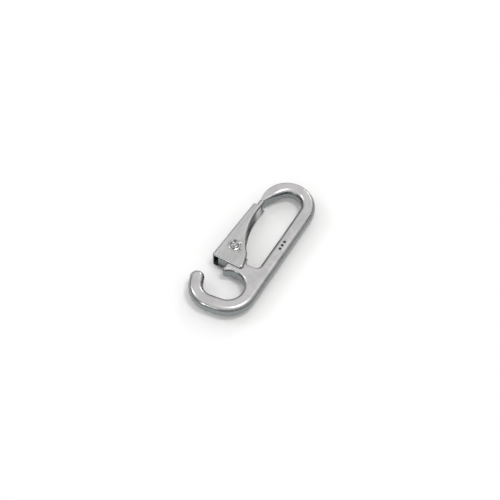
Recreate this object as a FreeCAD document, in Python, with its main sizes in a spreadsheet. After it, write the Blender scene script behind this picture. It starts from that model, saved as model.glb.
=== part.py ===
"""Eye hook with a spring latch, as a parametric FreeCAD document.

Millimetres. The origin is the centre of the open eye, halfway through the bar. +Y runs along the
hook towards the bow, +X towards the spine's outer side, and +Z out of the front face.
"""
import FreeCAD, Part

import math
import os

import Sketcher

V = FreeCAD.Vector
OUT = "parts"
ATTEMPTS = 6

# Driving dimensions: name, value, meaning.
DIMENSIONS = [
    ("bar_width", 6.0, "bar of the hook, seen from the front"),
    ("bar_depth", 6.0, "bar of the hook, front to back"),
    ("eye_radius", 6.75, "inner radius of the eye"),
    ("foot_slope", 7.0, "slope of the eye's foot, down towards the arm, degrees"),
    ("foot_length", 4.6, "straight stretch of the eye's foot"),
    ("arm_bend_radius", 5.2, "inner radius of the arm's bend"),
    ("arm_lean", 21.0, "lean of the arm from the hook's length, degrees"),
    ("arm_straight", 2.7, "straight stretch of the arm"),
    ("lip_reach", 4.75, "centre of the lip's tip, left of the eye's centre"),
    ("lip_radius", 1.0, "radius of the lip's tip"),
    ("web_height", 5.65, "web between the eye and the main opening"),
    ("web_fillet", 2.5, "inner corner between web and spine"),
    ("bow_height", 46.5, "centre of the bow, above the eye's centre"),
    ("bow_outer_radius", 11.3, "outer radius of the bow"),
    ("bow_inner_radius", 5.6, "inner radius of the bow"),
    ("bow_seat_rise", 0.6, "centre of the bow's inner radius, above the centre of its outer one"),
    ("nose_drop", 3.8, "centre of the nose's tip, below the bow's centre"),
    ("nose_taper_radius", 34.0, "radius of the nose's tapered inner side"),
    ("nose_tip_radius", 0.5, "radius of the nose's tip"),
    ("edge_round", 2.0, "rounding of the bar's edges"),
    ("tip_round", 0.3, "rounding at the nose's tip"),
    ("lip_round", 0.9, "rounding at the lip's tip"),
    ("round_growth", 0.2, "growth of the rounding with the distance from the nose's tip"),
    ("lip_growth", 0.35, "growth of the rounding with the distance from the lip's tip"),
    ("web_round", 0.8, "rounding of the web's top"),
    ("pivot_shift", 1.76, "pivot, right of the nose's tip"),
    ("pivot_rise", 4.75, "pivot, above the web"),
    ("web_end", 1.4, "left end of the web, right of the pivot"),
    ("rivet_radius", 1.5, "shank of the rivet"),
    ("rivet_play", 0.05, "radial clearance of the rivet in the post"),
    ("rivet_head_radius", 2.0, "head of the rivet"),
    ("rivet_head_height", 0.8, "height of the rivet's head"),
    ("post_recess", 0.2, "how far each side of the post lies under the bar's face"),
    ("post_top", 3.6, "top of the post, above the pivot"),
    ("post_right", 3.3, "right side of the post, from the pivot"),
    ("post_foot", 7.5, "underside of the post, below the pivot"),
    ("post_heel", 3.0, "lower end of the heel, below the pivot"),
    ("post_foot_left", 3.3, "lower left corner of the post, from the pivot"),
    ("gate_opening", 30.0, "travel of the gate, degrees"),
    ("stop_play", 0.2, "play between the post's stops and the gate's web"),
    ("sheet", 0.9, "thickness of the gate's sheet"),
    ("side_play", 0.15, "play between the bar's faces and the gate's cheeks"),
    ("fold_radius", 0.2, "inner radius of the gate's folds"),
    ("web_outer", 5.3, "outer face of the gate's web, from the pivot"),
    ("gate_foot", 8.4, "lower edge of the gate, below the pivot"),
    ("gate_foot_right", 7.1, "lower right corner of the gate, from the pivot"),
    ("gate_corner", 1.3, "corner radius of the cheeks"),
    ("cheek_lean", 15.5, "lean of the cheek's lower inner edge, degrees"),
    ("cheek_edge", 4.4, "straight lower part of the cheek's inner edge"),
    ("cheek_knee", 7.5, "convex radius of the cheek's inner edge"),
    ("cheek_sweep", 31.0, "concave radius of the cheek's inner edge"),
    ("finger_lean", 5.6, "lean of the finger's inner edge, degrees"),
    ("shoulder_gap", 2.3, "upper end of the gate's web, below the nose's tip"),
    ("shoulder_ease", 0.1, "how far the shoulder's radius falls short of the outer folds'"),
    ("shoulder_ledge", 0.07, "straight stretch between shoulder and finger"),
    ("shoulder_fillet", 0.25, "inner corner between shoulder and finger"),
    ("finger_overlap", 0.35, "how far the gate's tip passes the nose's tip"),
    ("finger_outside", 0.84, "outer edge of the finger, left of the nose's tip"),
    ("finger_inside", 1.66, "inner corner of the finger's tip, right of the nose's tip"),
    ("finger_corner", 0.45, "corner radius of the finger"),
    ("wire", 0.7, "spring wire"),
    ("coil_play", 0.3, "play between the coil and the rivet"),
    ("coil_rise", 1.75, "distance between the spring's two legs, along the rivet"),
    ("coil_turns", 2.0, "whole turns of the coil"),
    ("slot_play", 0.22, "play on each side of the coil"),
    ("slot_floor_rise", 0.3, "floor of the slot, above the web"),
    ("leg_length", 9.5, "leg of the spring that rests on the gate's web"),
    ("leg_play", 0.05, "play between the leg and the gate's web"),
    ("anchor_lean", 5.0, "lean of the anchored leg, degrees"),
    ("anchor_reach", 7.1, "anchor hole of the spring, right of the pivot"),
    ("anchor_depth", 2.2, "depth of the anchor hole"),
    ("anchor_play", 0.12, "radial play of the spring in the anchor hole"),
    ("anchor_bend", 0.8, "bend of the spring above the anchor hole"),
]


# Places and sizes that follow from the driving dimensions.
DERIVED = {
    "outer_radius": "eye_radius + bar_width",
    "web_top": "eye_radius + web_height",
    "bow_seat": "bow_height + bow_seat_rise",
    "nose_rim": "bow_outer_radius - nose_tip_radius",
    "nose_left": "sqrt(nose_rim ^ 2 - nose_drop ^ 2) + bow_outer_radius - outer_radius",
    "nose_height": "bow_height - nose_drop",
    "nose_foot": "nose_height - nose_tip_radius",
    "pivot_left": "nose_left - pivot_shift",
    "pivot_height": "web_top + pivot_rise",
    "web_left": "pivot_left - web_end",
    "web_inner": "web_outer - sheet",
    "gate_room": "bar_depth + 2 * side_play",
    "gate_width": "gate_room + 2 * sheet",
    "shoulder_height": "nose_foot - shoulder_gap - pivot_height",
    "finger_height": "nose_foot + finger_overlap - pivot_height",
    "finger_left": "pivot_shift + finger_outside",
    "shoulder_radius": "sheet + fold_radius - shoulder_ease",
    "shoulder_left": "finger_left + shoulder_fillet + shoulder_ledge + shoulder_radius",
    "shoulder_reach": "sqrt(shoulder_left ^ 2 + shoulder_height ^ 2)",
    "shoulder_turn": "atan(shoulder_height / shoulder_left)",
    "gate_lean": "(shoulder_turn - acos(web_outer / shoulder_reach)) / 1 deg",
    "finger_right": "pivot_shift - finger_inside",
    "coil_radius": "rivet_radius + coil_play + wire / 2",
    "slot_width": "coil_rise + wire + 2 * slot_play",
    "anchor_right": "anchor_reach - pivot_left",
}


def make_sheet(doc):
    """Store the driving dimensions in a spreadsheet, one alias each."""
    sheet = doc.addObject("Spreadsheet::Sheet", "Sizes")
    for row, (name, value, meaning) in enumerate(DIMENSIONS, start=1):
        sheet.set(f"A{row}", name)
        sheet.set(f"B{row}", str(value))
        sheet.set(f"C{row}", meaning)
        sheet.setAlias(f"B{row}", name)
    doc.recompute()
    return sheet


def formula(text):
    """Write a formula in terms of the sheet's cells."""
    cells = {name for name, _, _ in DIMENSIONS}
    words = []
    for word in text.replace("(", " ( ").replace(")", " ) ").split():
        if word in DERIVED:
            word = f"( {formula(DERIVED[word])} )"
        words.append(f"Sizes.{word}" if word in cells else word)
    text = " ".join(words)
    for function in ("sqrt", "atan", "acos"):
        text = text.replace(f"{function} (", f"{function}(")
    return text


def value_of(doc, text):
    """Work out a formula's number."""
    number = doc.getObject("Sizes").evalExpression(formula(text))
    return float(getattr(number, "Value", number))


def polar(centre, radius, degrees):
    """A point on a circle."""
    angle = math.radians(degrees)
    return V(centre[0] + radius * math.cos(angle), centre[1] + radius * math.sin(angle), 0)


def heading(start, end):
    """The direction from one point to another, in degrees."""
    return math.degrees(math.atan2(end[1] - start[1], end[0] - start[0]))


def crossing(one, one_radius, two, two_radius):
    """Where two circles cross, on the left hand of the way from one to two."""
    way = two - one
    along = (way.Length ** 2 + one_radius ** 2 - two_radius ** 2) / (2 * way.Length)
    aside = math.sqrt(one_radius ** 2 - along ** 2)
    way.normalize()
    return one + way * along + V(-way.y, way.x, 0) * aside


def origin_plane(body, role):
    """One of a body's own origin planes."""
    return next(f for f in body.Origin.OriginFeatures if f.Role == role)


def new_body(doc, label):
    """A body whose label names its file."""
    body = doc.addObject("PartDesign::Body", label)
    body.Label = label
    return body


class Outline:
    """A chain of lines and arcs in a sketch, with its sizes bound to the sheet."""

    def __init__(self, body, name, role="XY_Plane"):
        self.sketch = body.newObject("Sketcher::SketchObject", name)
        self.sketch.AttachmentSupport = (origin_plane(body, role), [""])
        self.sketch.MapMode = "FlatFace"
        self.chain = []

    def line(self, start, end):
        """Add a line to the chain."""
        made = self.sketch.addGeometry(Part.LineSegment(V(*start[:2], 0), V(*end[:2], 0)), False)
        self.chain.append((made, 1, 2))
        return made

    def arc(self, centre, radius, start, end):
        """Add an arc to the chain; it runs clockwise where end is under start (degrees)."""
        low, high = math.radians(min(start, end)), math.radians(max(start, end))
        circle = Part.Circle(V(*centre[:2], 0), V(0, 0, 1), radius)
        made = self.sketch.addGeometry(Part.ArcOfCircle(circle, low, high), False)
        self.chain.append((made, 1, 2) if end > start else (made, 2, 1))
        return made

    def circle(self, centre, radius):
        """Add a full circle outside the chain."""
        whole = Part.Circle(V(*centre[:2], 0), V(0, 0, 1), radius)
        return self.sketch.addGeometry(whole, False)

    def close(self, sharp=()):
        """Join the chain end to end: tangent, except after the elements listed in sharp."""
        following = self.chain[1:] + self.chain[:1]
        for (one, _, leave), (two, enter, _) in zip(self.chain, following):
            kind = "Coincident" if one in sharp else "Tangent"
            self.sketch.addConstraint(Sketcher.Constraint(kind, one, leave, two, enter))

    def bind(self, kind, *where, to):
        """Add a dimension and bind it to a formula on the sheet."""
        size = value_of(self.sketch.Document, to)
        datum = math.radians(size) if kind == "Angle" else size
        index = self.sketch.addConstraint(Sketcher.Constraint(kind, *where, datum))
        name = f"size{index}"
        self.sketch.renameConstraint(index, name)
        self.sketch.setExpression(f"Constraints.{name}", formula(to))

    def rule(self, kind, *where):
        """Add a geometric constraint."""
        self.sketch.addConstraint(Sketcher.Constraint(kind, *where))


def extrude(body, kind, name, outline, length):
    """A symmetric pad or pocket of an outline."""
    feature = body.newObject(kind, name)
    feature.Profile = outline.sketch
    feature.SideType = "Symmetric"
    feature.setExpression("Length", formula(length))
    body.Document.recompute()
    return feature


def round_edges(body, name, base, radius, wanted):
    """Fillet the edges of a feature that a test picks."""
    names = [f"Edge{i}" for i, e in enumerate(base.Shape.Edges, start=1) if wanted(e)]
    feature = body.newObject("PartDesign::Fillet", name)
    feature.Base = (base, names)
    feature.setExpression("Radius", formula(radius))
    body.Document.recompute()
    return feature


def hook_outline(body, size):
    """The hook seen from the front: eye, spine, bow, nose, web and lip in one closed line."""
    eye, bar = size("eye_radius"), size("bar_width")
    outer, web_top = size("outer_radius"), size("web_top")
    bow, bow_in = size("bow_outer_radius"), size("bow_inner_radius")
    bow_y, bow_x, bow_in_x = size("bow_height"), outer - bow, eye - bow_in
    bend_in, lean, slope = size("arm_bend_radius"), size("arm_lean"), size("foot_slope")
    foot_way = polar((0, 0), size("foot_length"), 180 + slope)
    bend = polar((0, 0), eye - bend_in, slope - 90) + foot_way
    turn, low = 180 + lean, slope - 90
    along = polar((0, 0), size("arm_straight"), 90 + lean)
    cap = polar(bend, bend_in + bar / 2, turn) + along
    lip_turn = math.degrees(math.acos(-size("lip_reach") / (eye + size("lip_radius"))))
    lip = polar((0, 0), eye + size("lip_radius"), lip_turn)
    tip_r, taper = size("nose_tip_radius"), size("nose_taper_radius")
    tip_turn = 180 + math.degrees(math.asin(size("nose_drop") / (bow - tip_r)))
    tip = V(-size("nose_left"), size("nose_height"), 0)
    seat = V(bow_in_x, size("bow_seat"), 0)
    taper_c = crossing(seat, taper - bow_in, tip, taper + tip_r)
    blend = heading(taper_c, seat)
    taper_end = heading(taper_c, tip)
    corner = size("web_fillet")
    o = Outline(body, "HookOutline")
    spine_out = o.line((outer, bow_y), (outer, 0))
    eye_out = o.arc((0, 0), outer, 0, low)
    foot_out = o.line(polar((0, 0), outer, low), polar(bend, bend_in + bar, low))
    bend_out = o.arc(bend, bend_in + bar, low + 360, turn)
    arm_out = o.line(polar(bend, bend_in + bar, turn), polar(cap, bar / 2, turn))
    arm_cap = o.arc(cap, bar / 2, turn, lean)
    arm_in = o.line(polar(cap, bar / 2, lean), polar(bend, bend_in, turn))
    bend_inner = o.arc(bend, bend_in, turn, low + 360)
    foot_in = o.line(polar(bend, bend_in, low), polar((0, 0), eye, low))
    eye_in = o.arc((0, 0), eye, low, lip_turn)
    lip_tip = o.arc(lip, size("lip_radius"), lip_turn + 180, 180)
    lip_side = o.line(lip + V(-size("lip_radius"), 0, 0), (-size("web_left"), web_top))
    web = o.line((-size("web_left"), web_top), (eye - corner, web_top))
    web_corner = o.arc((eye - corner, web_top + corner), corner, -90, 0)
    spine_in = o.line((eye, web_top + corner), (eye, seat.y))
    bow_inner = o.arc(seat, bow_in, 0, blend)
    nose_in = o.arc(taper_c, taper, blend, taper_end)
    nose_tip = o.arc(tip, tip_r, taper_end + 180, tip_turn)
    bow_out = o.arc((bow_x, bow_y), bow, tip_turn, 0)
    o.close(sharp=(lip_side,))
    o.rule("Vertical", spine_out)
    o.rule("Coincident", eye_out, 3, -1, 1)
    o.rule("Coincident", eye_in, 3, -1, 1)
    o.rule("Parallel", foot_out, foot_in)
    o.rule("Coincident", bend_out, 3, bend_inner, 3)
    o.rule("Parallel", arm_out, arm_in)
    o.rule("Horizontal", web)
    o.rule("Vertical", spine_in)
    o.bind("Radius", eye_in, to="eye_radius")
    o.bind("Radius", eye_out, to="outer_radius")
    o.bind("Radius", bend_inner, to="arm_bend_radius")
    o.bind("Distance", foot_in, to="foot_length")
    o.bind("Angle", foot_out, to="foot_slope - 180")
    o.bind("Angle", arm_out, to="90 + arm_lean")
    o.bind("Distance", arm_in, to="arm_straight")
    o.bind("Radius", lip_tip, to="lip_radius")
    o.bind("DistanceX", lip_tip, 3, -1, 1, to="lip_reach")
    o.bind("DistanceX", lip_side, 2, -1, 1, to="web_left")
    o.bind("DistanceY", -1, 1, lip_side, 2, to="web_top")
    o.bind("Radius", web_corner, to="web_fillet")
    o.bind("DistanceX", -1, 1, spine_in, 1, to="eye_radius")
    o.bind("Radius", bow_inner, to="bow_inner_radius")
    o.bind("DistanceY", -1, 1, bow_inner, 3, to="bow_seat")
    o.bind("Radius", nose_in, to="nose_taper_radius")
    o.bind("Radius", nose_tip, to="nose_tip_radius")
    o.bind("DistanceY", nose_tip, 3, bow_out, 3, to="nose_drop")
    o.bind("Radius", bow_out, to="bow_outer_radius")
    o.bind("DistanceY", -1, 1, bow_out, 3, to="bow_height")
    return o


def post_outline(body, size):
    """The post that carries the gate, with a flat for each stop of the gate's web."""
    lean, travel = size("gate_lean"), size("gate_opening")
    pivot = V(-size("pivot_left"), size("pivot_height"), 0)
    reach = size("web_inner") - size("stop_play")
    shut, wide = 180 - lean, 180 - lean - travel
    ridge = pivot + polar((0, 0), reach / math.cos(math.radians(travel / 2)), (shut + wide) / 2)
    foot = pivot.y - size("post_foot")
    heel_y = pivot.y - size("post_heel")
    heel = ridge + polar((0, 0), (ridge.y - heel_y) / math.cos(math.radians(lean)), shut + 90)
    top_y = pivot.y + size("post_top")
    top_run = (top_y - ridge.y) / math.cos(math.radians(lean + travel))
    crown = ridge + polar((0, 0), top_run, wide - 90)
    right = pivot.x + size("post_right")
    o = Outline(body, "PostOutline")
    foot_line = o.line((right, foot), (pivot.x - size("post_foot_left"), foot))
    o.line((pivot.x - size("post_foot_left"), foot), heel)
    shut_flat = o.line(heel, ridge)
    open_flat = o.line(ridge, crown)
    top = o.line(crown, (right, top_y))
    side = o.line((right, top_y), (right, foot))
    o.close(sharp=range(6))
    centre = o.sketch.addGeometry(Part.Point(pivot), True)
    o.bind("DistanceX", centre, 1, -1, 1, to="pivot_left")
    o.bind("DistanceY", -1, 1, centre, 1, to="pivot_height")
    o.rule("Horizontal", foot_line)
    o.rule("Horizontal", top)
    o.rule("Vertical", side)
    o.bind("DistanceY", foot_line, 1, centre, 1, to="post_foot")
    o.bind("DistanceX", foot_line, 2, centre, 1, to="post_foot_left")
    o.bind("DistanceY", shut_flat, 1, centre, 1, to="post_heel")
    o.bind("Angle", shut_flat, to="90 - gate_lean")
    o.bind("Angle", open_flat, to="90 - gate_lean - gate_opening")
    o.bind("Distance", centre, 1, shut_flat, to="web_inner - stop_play")
    o.bind("Distance", centre, 1, open_flat, to="web_inner - stop_play")
    o.bind("DistanceY", centre, 1, top, 1, to="post_top")
    o.bind("DistanceX", centre, 1, side, 1, to="post_right")
    return o


def rectangle(body, name, left, right, low, high, role="XY_Plane"):
    """A rectangle whose four sides are formulas, measured from the origin."""
    doc = body.Document
    x0, x1, y0, y1 = (value_of(doc, text) for text in (left, right, low, high))
    o = Outline(body, name, role)
    foot = o.line((x0, y0), (x1, y0))
    side = o.line((x1, y0), (x1, y1))
    top = o.line((x1, y1), (x0, y1))
    back = o.line((x0, y1), (x0, y0))
    o.close(sharp=range(4))
    for made in (foot, top):
        o.rule("Horizontal", made)
    for made in (side, back):
        o.rule("Vertical", made)
    o.bind("DistanceX", -1, 1, foot, 1, to=left)
    o.bind("DistanceX", -1, 1, foot, 2, to=right)
    o.bind("DistanceY", -1, 1, foot, 1, to=low)
    o.bind("DistanceY", -1, 1, top, 1, to=high)
    return o


def pivot_circle(body, name, radius):
    """A circle about the pivot."""
    doc = body.Document
    centre = (-value_of(doc, "pivot_left"), value_of(doc, "pivot_height"))
    o = Outline(body, name)
    made = o.circle(centre, value_of(doc, radius))
    o.bind("DistanceX", made, 3, -1, 1, to="pivot_left")
    o.bind("DistanceY", -1, 1, made, 3, to="pivot_height")
    o.bind("Radius", made, to=radius)
    return o


def tip_rounding(size):
    """The rounding of the front edges at a point: it grows from each tip to the bar's own."""
    nose = V(-size("nose_left"), size("nose_height"), 0)
    beak = size("eye_radius") + size("lip_radius")
    lip = V(-size("lip_reach"), math.sqrt(beak ** 2 - size("lip_reach") ** 2), 0)

    def radius_at(point):
        flat = V(point.x, point.y, 0)
        at_nose = size("tip_round") + size("round_growth") * (flat - nose).Length
        at_lip = size("lip_round") + size("lip_growth") * (flat - lip).Length
        radius = min(size("edge_round"), at_nose, at_lip)
        on_web = abs(flat.y - size("web_top")) < 0.001
        return min(radius, size("web_round")) if on_web else radius

    return radius_at


def union(doc, name, pieces):
    """Join solids that overlap or touch."""
    joined = doc.addObject("Part::MultiFuse", name)
    joined.Shapes = pieces
    joined.Refine = True
    doc.recompute()
    return joined


def make_hook_body(doc, size):
    """One forging: eye, spine, bow and nose, the web across it, and the post."""
    half = new_body(doc, "half_bar")
    pad = half.newObject("PartDesign::Pad", "HalfBar")
    pad.Profile = hook_outline(half, size).sketch
    pad.setExpression("Length", formula("bar_depth / 2"))
    doc.recompute()
    face = size("bar_depth") / 2
    radius_at = tip_rounding(size)
    rounded = doc.addObject("Part::Fillet", "RoundedHalf")
    rounded.Base = half
    rounded.Edges = [
        (number, radius_at(edge.firstVertex(True).Point), radius_at(edge.lastVertex(True).Point))
        for number, edge in enumerate(half.Shape.Edges, start=1)
        if min(edge.BoundBox.ZMin, edge.BoundBox.ZMax) > face - 0.001
    ]
    other = doc.addObject("Part::Mirroring", "OtherHalf")
    other.Source = rounded
    other.Normal = V(0, 0, 1)
    post = new_body(doc, "post")
    outline = post_outline(post, size)
    extrude(post, "PartDesign::Pad", "Post", outline, "bar_depth - 2 * post_recess")
    bore = pivot_circle(post, "BoreCircle", "rivet_radius + rivet_play")
    extrude(post, "PartDesign::Pocket", "RivetBore", bore, "bar_depth")
    slot = rectangle(
        post, "SlotOutline", "0 - pivot_left - 3 * post_right", "2 * post_right - pivot_left",
        "web_top + slot_floor_rise", "pivot_height + 2 * post_top",
    )
    extrude(post, "PartDesign::Pocket", "CoilSlot", slot, "slot_width")
    bar = union(doc, "WholeBar", [rounded, other])
    joined = union(doc, "Joined", [bar, post])
    anchor = doc.addObject("Part::Cylinder", "AnchorHole")
    anchor.setExpression("Radius", formula("wire / 2 + anchor_play"))
    anchor.setExpression("Height", formula("anchor_depth + 1"))
    anchor.Placement.Rotation = FreeCAD.Rotation(V(1, 0, 0), -90)
    anchor.setExpression("Placement.Base.x", formula("anchor_right"))
    anchor.setExpression("Placement.Base.y", formula("web_top - anchor_depth"))
    anchor.setExpression("Placement.Base.z", formula("coil_rise / 2"))
    hook = doc.addObject("Part::Cut", "hook_body")
    hook.Base = joined
    hook.Tool = anchor
    hook.Label = "hook_body"
    return hook


def gate_outline(body, size):
    """A cheek of the gate: foot, swept inner edge, finger, shoulder and the web's outer side."""
    pivot = V(-size("pivot_left"), size("pivot_height"), 0)
    lean = size("gate_lean")
    foot, corner = pivot.y - size("gate_foot"), size("gate_corner")
    right = pivot.x + size("gate_foot_right")
    wall = pivot + polar((0, 0), size("web_outer"), 180 - lean)
    rise = polar((0, 0), 1, 90 - lean)
    left = wall + rise * ((foot - wall.y) / rise.y)
    heading = 90 + size("cheek_lean")
    corner_c = V(right, foot + corner, 0)
    low_start = polar(corner_c, corner, heading - 90)
    low_end = low_start + polar((0, 0), size("cheek_edge"), heading)
    knee, sweep = size("cheek_knee"), size("cheek_sweep")
    knee_c = polar(low_end, knee, heading + 90)
    finger_turn = -size("finger_lean")
    across = polar((0, 0), 1, finger_turn)
    tip_r, top = size("finger_corner"), pivot.y + size("finger_height")
    tip_c = V(pivot.x - size("finger_right") - tip_r, top - tip_r, 0)
    reach = (tip_c - knee_c).dot(across) + tip_r + sweep
    sweep_turn = math.degrees(math.acos(reach / (knee + sweep))) + finger_turn
    sweep_c = polar(knee_c, knee + sweep, sweep_turn)
    edge_x = pivot.x - size("finger_left")
    step, shoulder = pivot.y + size("shoulder_height"), size("shoulder_radius")
    fillet = size("shoulder_fillet")
    slide = (step - shoulder - wall.y) / rise.y
    shoulder_x = wall.x + rise.x * slide + shoulder / math.cos(math.radians(lean))
    shoulder_c = V(shoulder_x, step - shoulder, 0)
    o = Outline(body, "CheekOutline")
    foot_line = o.line(left, (right, foot))
    foot_corner = o.arc(corner_c, corner, -90, heading - 90)
    low = o.line(low_start, low_end)
    knee_arc = o.arc(knee_c, knee, heading - 90, sweep_turn)
    sweep_arc = o.arc(sweep_c, sweep, 180 + sweep_turn, 180 + finger_turn)
    inner = o.line(polar(sweep_c, sweep, 180 + finger_turn), polar(tip_c, tip_r, finger_turn))
    inner_corner = o.arc(tip_c, tip_r, finger_turn, 90)
    top_line = o.line((tip_c.x, top), (edge_x + tip_r, top))
    outer_corner = o.arc((edge_x + tip_r, top - tip_r), tip_r, 90, 180)
    outer = o.line((edge_x, top - tip_r), (edge_x, step + fillet))
    nook = o.arc((edge_x - fillet, step + fillet), fillet, 0, -90)
    ledge = o.line((edge_x - fillet, step), (shoulder_c.x, step))
    shoulder_arc = o.arc(shoulder_c, shoulder, 90, 180 - lean)
    web = o.line(polar(shoulder_c, shoulder, 180 - lean), left)
    o.close(sharp=(web,))
    centre = o.sketch.addGeometry(Part.Point(pivot), True)
    o.bind("DistanceX", centre, 1, -1, 1, to="pivot_left")
    o.bind("DistanceY", -1, 1, centre, 1, to="pivot_height")
    for flat in (foot_line, top_line, ledge):
        o.rule("Horizontal", flat)
    o.rule("Vertical", outer)
    o.bind("DistanceY", foot_line, 1, centre, 1, to="gate_foot")
    o.bind("DistanceX", centre, 1, foot_line, 2, to="gate_foot_right")
    o.bind("Radius", foot_corner, to="gate_corner")
    o.bind("Angle", low, to="90 + cheek_lean")
    o.bind("Distance", low, to="cheek_edge")
    o.bind("Radius", knee_arc, to="cheek_knee")
    o.bind("Radius", sweep_arc, to="cheek_sweep")
    o.bind("Angle", inner, to="90 - finger_lean")
    o.bind("Radius", inner_corner, to="finger_corner")
    o.bind("DistanceX", inner_corner, 3, centre, 1, to="finger_right + finger_corner")
    o.bind("DistanceY", centre, 1, top_line, 1, to="finger_height")
    o.bind("Radius", outer_corner, to="finger_corner")
    o.bind("DistanceX", outer, 1, centre, 1, to="finger_left")
    o.bind("Radius", nook, to="shoulder_fillet")
    o.bind("DistanceY", centre, 1, ledge, 1, to="shoulder_height")
    o.bind("Radius", shoulder_arc, to="shoulder_radius")
    o.bind("Distance", centre, 1, web, to="web_outer")
    o.bind("Angle", web, to="0 - 90 - gate_lean")
    return o


def channel_outline(body, size):
    """The room between the cheeks, open on every side but the web's."""
    pivot = V(-size("pivot_left"), size("pivot_height"), 0)
    lean = size("gate_lean")
    wall = pivot + polar((0, 0), size("web_inner"), 180 - lean)
    rise = polar((0, 0), 1, 90 - lean)
    low, high = pivot.y - 2 * size("gate_foot"), pivot.y + 2 * size("finger_height")
    right = pivot.x + 2 * size("gate_foot_right")
    o = Outline(body, "ChannelOutline")
    foot = o.line(wall + rise * ((low - wall.y) / rise.y), (right, low))
    side = o.line((right, low), (right, high))
    top = o.line((right, high), wall + rise * ((high - wall.y) / rise.y))
    back = o.line(wall + rise * ((high - wall.y) / rise.y), wall + rise * ((low - wall.y) / rise.y))
    o.close(sharp=range(4))
    centre = o.sketch.addGeometry(Part.Point(pivot), True)
    o.bind("DistanceX", centre, 1, -1, 1, to="pivot_left")
    o.bind("DistanceY", -1, 1, centre, 1, to="pivot_height")
    o.rule("Horizontal", foot)
    o.rule("Horizontal", top)
    o.rule("Vertical", side)
    o.bind("DistanceY", foot, 1, centre, 1, to="2 * gate_foot")
    o.bind("DistanceY", centre, 1, top, 1, to="2 * finger_height")
    o.bind("DistanceX", centre, 1, side, 1, to="2 * gate_foot_right")
    o.bind("Distance", centre, 1, back, to="web_inner")
    o.bind("Angle", back, to="0 - 90 - gate_lean")
    return o


def make_gate(doc, size):
    """One folded sheet: two cheeks and the web that joins them on the outside."""
    gate = new_body(doc, "gate")
    blank = extrude(gate, "PartDesign::Pad", "GateBlank", gate_outline(gate, size), "gate_width")
    lean = math.radians(size("gate_lean"))
    pivot = V(-size("pivot_left"), size("pivot_height"), 0)
    outward = V(-math.cos(lean), math.sin(lean), 0)

    def along_web(reach, half):
        """A test for edges along the web, at a distance from the pivot and from the middle."""
        def test(edge):
            ends = [vertex.Point - pivot for vertex in edge.Vertexes]
            level = all(abs(end.dot(outward) - reach) < 0.001 for end in ends)
            return level and all(abs(abs(end.z) - half) < 0.001 for end in ends)
        return test

    outside = along_web(size("web_outer"), size("gate_width") / 2)
    round_edges(gate, "OuterFolds", blank, "sheet + fold_radius", outside)
    room = extrude(gate, "PartDesign::Pocket", "Channel", channel_outline(gate, size), "gate_room")
    inside = along_web(size("web_inner"), size("gate_room") / 2)
    round_edges(gate, "InnerFolds", room, "fold_radius", inside)
    circle = pivot_circle(gate, "RivetCircle", "rivet_radius")
    extrude(gate, "PartDesign::Pocket", "RivetHoles", circle, "gate_width")
    return gate


def make_rivet(doc, size):
    """A round rivet with a domed head on each cheek."""
    rivet = new_body(doc, "pivot_rivet")
    shank, head, rise = size("rivet_radius"), size("rivet_head_radius"), size("rivet_head_height")
    seat = size("gate_width") / 2
    dome = (head ** 2 + rise ** 2) / (2 * rise)
    centre = seat + rise - dome
    rim = math.degrees(math.asin((seat - centre) / dome))
    o = Outline(rivet, "RivetProfile", "XZ_Plane")
    axis = o.line((0, -seat - rise), (0, seat + rise))
    upper = o.arc((0, centre), dome, 90, rim)
    upper_seat = o.line((head, seat), (shank, seat))
    wall = o.line((shank, seat), (shank, -seat))
    lower_seat = o.line((shank, -seat), (head, -seat))
    lower = o.arc((0, -centre), dome, -rim, -90)
    o.close(sharp=range(6))
    o.rule("PointOnObject", axis, 1, -2)
    o.rule("PointOnObject", axis, 2, -2)
    o.rule("PointOnObject", upper, 3, -2)
    o.rule("PointOnObject", lower, 3, -2)
    o.rule("Horizontal", upper_seat)
    o.rule("Horizontal", lower_seat)
    o.rule("Vertical", wall)
    o.bind("DistanceX", -1, 1, wall, 1, to="rivet_radius")
    o.bind("DistanceX", -1, 1, upper_seat, 1, to="rivet_head_radius")
    o.bind("DistanceX", -1, 1, lower_seat, 2, to="rivet_head_radius")
    o.bind("DistanceY", -1, 1, upper_seat, 1, to="gate_width / 2")
    o.bind("DistanceY", lower_seat, 1, -1, 1, to="gate_width / 2")
    o.bind("DistanceY", -1, 1, axis, 2, to="gate_width / 2 + rivet_head_height")
    o.bind("DistanceY", axis, 1, -1, 1, to="gate_width / 2 + rivet_head_height")
    turned = rivet.newObject("PartDesign::Revolution", "Turned")
    turned.Profile = o.sketch
    turned.ReferenceAxis = (o.sketch, ["V_Axis"])
    turned.Angle = 360
    rivet.setExpression("Placement.Base.x", formula("0 - pivot_left"))
    rivet.setExpression("Placement.Base.y", formula("pivot_height"))
    doc.recompute()
    return rivet


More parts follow.
